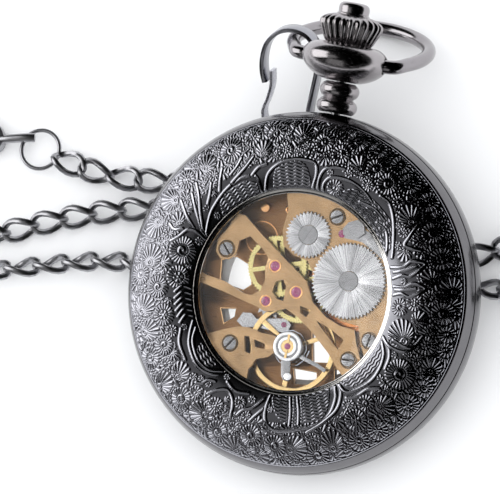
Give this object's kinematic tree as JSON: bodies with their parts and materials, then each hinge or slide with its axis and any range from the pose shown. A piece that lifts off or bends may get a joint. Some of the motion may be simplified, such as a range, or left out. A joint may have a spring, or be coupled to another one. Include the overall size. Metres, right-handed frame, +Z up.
{
  "type": "pocket_watch",
  "caption": "Open-face pocket watch with an engraved see-through back, lying face down on its folded bow, with crown, spring clip and chain",
  "frame": {"origin": "On the table, under the middle of the watch's length and width (chain left out)", "axes": "+Y runs along the table from the case towards the crown, +Z is up, +X is to the right as seen from the back. The watch leans 9.8 degrees about X, because the bow under it lifts the crown."},
  "size_m": [0.106, 0.0617, 0.0197],
  "materials": {
    "gunmetal": "dark polished plating, engraved on the back ring",
    "polished_steel": "polished or sunburst-brushed steel",
    "brushed_gilt": "fine straight-brushed gilt with bright edges",
    "wheel_brass": "satin pale brass",
    "crystal": "clear mineral glass",
    "ruby": "polished synthetic ruby",
    "enamel": "white gloss dial",
    "blued_steel": "blue-black lacquered hands"
  },
  "bodies": {
    "case": {"case_middle": "gunmetal", "back_cover": "gunmetal", "back_crystal": "crystal", "front_bezel": "gunmetal", "front_crystal": "crystal", "movement_ring": "gunmetal", "pendant_neck": "gunmetal", "pendant_bulb": "gunmetal", "main_plate": "brushed_gilt", "barrel_bridge": "brushed_gilt", "train_bridge": "brushed_gilt", "balance_cock": "brushed_gilt", "pallet_bridge": "polished_steel", "barrel_bridge_screw_1": "polished_steel", "barrel_bridge_screw_2": "polished_steel", "train_bridge_screw_1": "polished_steel", "train_bridge_screw_2": "polished_steel", "balance_cock_screw": "polished_steel", "crown_wheel_screw": "polished_steel", "jewel_third": "ruby", "jewel_fourth": "ruby", "jewel_escape": "ruby", "regulator": "polished_steel", "shock_setting": "polished_steel", "hairspring": "polished_steel", "dial": "enamel", "chain": "gunmetal", "end_ring": "gunmetal", "end_clasp": "gunmetal"},
    "bow": {"bow": "gunmetal"},
    "clip": {"chain_clip": "gunmetal"},
    "clip_leaf": {"clip_leaf": "polished_steel"},
    "stem": {"stem": "polished_steel", "winding_pinion": "polished_steel"},
    "crown": {"crown": "gunmetal"},
    "crown_wheel": {"crown_wheel": "polished_steel"},
    "ratchet": {"ratchet_wheel": "polished_steel", "ratchet_screw": "polished_steel", "barrel_arbor": "polished_steel", "mainspring": "polished_steel"},
    "click": {"click": "polished_steel"},
    "barrel": {"barrel": "wheel_brass", "barrel_drum": "wheel_brass"},
    "second": {"second_wheel": "wheel_brass", "second_pinion": "polished_steel"},
    "third": {"third_wheel": "wheel_brass", "third_pinion": "polished_steel"},
    "fourth": {"fourth_wheel": "wheel_brass", "fourth_pinion": "polished_steel"},
    "escape": {"escape_wheel": "polished_steel", "escape_pinion": "polished_steel"},
    "pallet": {"pallet_fork": "polished_steel"},
    "balance": {"balance_wheel": "wheel_brass", "balance_staff": "polished_steel"},
    "minute": {"cannon_pinion": "polished_steel", "minute_hand": "blued_steel"},
    "minute_wheel": {"minute_wheel": "wheel_brass"},
    "hour": {"hour_wheel": "wheel_brass", "hour_hand": "blued_steel"}
  },
  "joints": [
    {"name": "bow_swing", "type": "hinge", "parent": "case", "child": "bow", "pos_m": [0, 0.02238, 0.01413], "axis": [1, 0, 0], "range_deg": [0, 160]},
    {"name": "clip_swing", "type": "hinge", "parent": "bow", "child": "clip", "pos_m": [-0.00867, 0.02482, 0.00987], "axis": [0, -0.497, 0.8678], "range_deg": [-15, 15]},
    {"name": "clip_gate", "type": "hinge", "parent": "clip", "child": "clip_leaf", "pos_m": [-0.01067, 0.0125, 0.00281], "axis": [0, 0.497, -0.8678], "range_deg": [0, 14], "stiffness_Nm_per_rad": 0.002},
    {"name": "crown_turn", "type": "hinge", "parent": "case", "child": "stem", "pos_m": [0, 0.02376, 0.01436], "axis": [0, 0.9855, 0.1696], "continuous": true},
    {"name": "crown_pull", "type": "slide", "parent": "stem", "child": "crown", "axis": [0, 0.9855, 0.1696], "range_m": [0, 0.0012]},
    {"name": "crown_wheel_spin", "type": "hinge", "parent": "case", "child": "crown_wheel", "pos_m": [0.0003, -0.00087, 0.01307], "axis": [0, -0.1696, 0.9855], "continuous": true},
    {"name": "ratchet_spin", "type": "hinge", "parent": "case", "child": "ratchet", "pos_m": [0.0067, -0.0057, 0.01224], "axis": [0, -0.1696, 0.9855], "continuous": true},
    {"name": "click_pivot", "type": "hinge", "parent": "case", "child": "click", "pos_m": [0.0066, 0.0012, 0.01342], "axis": [0, -0.1696, 0.9855], "range_deg": [0, 8], "stiffness_Nm_per_rad": 0.0001},
    {"name": "fourth_spin", "type": "hinge", "parent": "case", "child": "fourth", "pos_m": [0, -0.00794, 0.00992], "axis": [0, -0.1696, 0.9855], "continuous": true},
    {"name": "third_spin", "type": "hinge", "parent": "case", "child": "third", "pos_m": [-0.0034, -0.00518, 0.0104], "axis": [0, -0.1696, 0.9855], "continuous": true},
    {"name": "second_spin", "type": "hinge", "parent": "case", "child": "second", "pos_m": [0.00027, -0.00234, 0.01038], "axis": [0, -0.1696, 0.9855], "continuous": true},
    {"name": "barrel_spin", "type": "hinge", "parent": "case", "child": "barrel", "pos_m": [0.0067, -0.00521, 0.00938], "axis": [0, -0.1696, 0.9855], "continuous": true},
    {"name": "escape_spin", "type": "hinge", "parent": "case", "child": "escape", "pos_m": [-0.0038, -0.00963, 0.00913], "axis": [0, -0.1696, 0.9855], "continuous": true},
    {"name": "pallet_rock", "type": "hinge", "parent": "case", "child": "pallet", "pos_m": [-0.0015, -0.01201, 0.00821], "axis": [0, -0.1696, 0.9855], "range_deg": [-5, 5]},
    {"name": "balance_swing", "type": "hinge", "parent": "case", "child": "balance", "pos_m": [0.0002, -0.01481, 0.00854], "axis": [0, -0.1696, 0.9855], "range_deg": [-150, 150], "stiffness_Nm_per_rad": 0.00000025},
    {"name": "minute_spin", "type": "hinge", "parent": "case", "child": "minute", "pos_m": [0, -0.00743, 0.00697], "axis": [0, -0.1696, 0.9855], "continuous": true},
    {"name": "minute_wheel_spin", "type": "hinge", "parent": "case", "child": "minute_wheel", "pos_m": [0.0026, -0.00743, 0.00697], "axis": [0, -0.1696, 0.9855], "continuous": true},
    {"name": "hour_spin", "type": "hinge", "parent": "case", "child": "hour", "pos_m": [0, -0.0074, 0.00677], "axis": [0, -0.1696, 0.9855], "continuous": true}
  ],
  "couplings": [
    {"joint": "crown_wheel_spin", "follows": "crown_turn", "ratio": -0.5},
    {"joint": "ratchet_spin", "follows": "crown_turn", "ratio": 0.3},
    {"joint": "third_spin", "follows": "fourth_spin", "ratio": -0.13333},
    {"joint": "second_spin", "follows": "fourth_spin", "ratio": 0.016667},
    {"joint": "barrel_spin", "follows": "fourth_spin", "ratio": -0.0020833},
    {"joint": "escape_spin", "follows": "fourth_spin", "ratio": -10},
    {"joint": "minute_wheel_spin", "follows": "minute_spin", "ratio": -0.33333},
    {"joint": "hour_spin", "follows": "minute_spin", "ratio": 0.083333}
  ]
}
